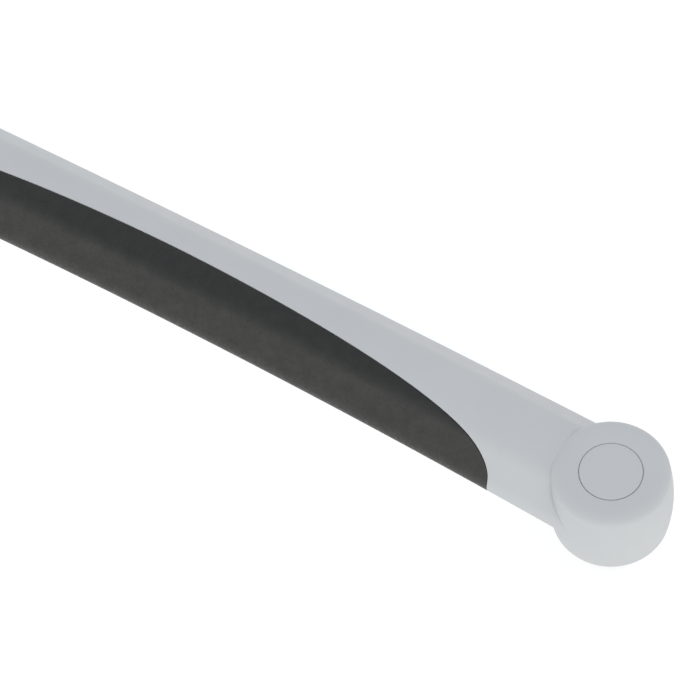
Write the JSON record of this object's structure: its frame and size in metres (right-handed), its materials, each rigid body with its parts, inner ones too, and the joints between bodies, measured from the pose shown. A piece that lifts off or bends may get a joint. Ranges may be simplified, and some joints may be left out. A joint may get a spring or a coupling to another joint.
{
  "type": "wall grab bar",
  "caption": "Gently arched wall grab bar with a dark soft-grip insert, round end hubs, lift-out screw cover plugs and stand-off feet.",
  "frame": {"origin": "midway between the two wall screw holes, on the wall plane", "axes": "+X along the bar, -Y towards the soft grip insert, +Z away from the wall"},
  "size_m": [0.4206, 0.0456, 0.0585],
  "materials": {
    "grey_plastic": "satin",
    "soft_grip": "matte",
    "pad_rubber": "matte",
    "core_aluminium": "satin",
    "cast_anchor": "rough cast",
    "steel": "zinc plated"
  },
  "bodies": {
    "handle": {"handrail_shell": "grey_plastic", "rear_cover": "grey_plastic", "grip_insert": "soft_grip", "cover_screws": "steel", "core_bar": "core_aluminium", "core_pads": "pad_rubber", "end_hub_left": "grey_plastic", "wall_foot_left": "grey_plastic", "wall_gasket_left": "pad_rubber", "anchor_block_left": "cast_anchor", "anchor_screws_left": "steel", "seat_washer_left": "steel", "end_hub_right": "grey_plastic", "wall_foot_right": "grey_plastic", "wall_gasket_right": "pad_rubber", "anchor_block_right": "cast_anchor", "anchor_screws_right": "steel", "seat_washer_right": "steel"},
    "plug_left": {"cover_plug_left": "grey_plastic", "plug_seal_left": "pad_rubber"},
    "plug_right": {"cover_plug_right": "grey_plastic", "plug_seal_right": "pad_rubber"}
  },
  "joints": [
    {"name": "plug_left_lift", "type": "slide", "parent": "handle", "child": "plug_left", "axis": [0, 0, 1], "range_m": [0, 0.02]},
    {"name": "plug_right_lift", "type": "slide", "parent": "handle", "child": "plug_right", "axis": [0, 0, 1], "range_m": [0, 0.02]}
  ]
}
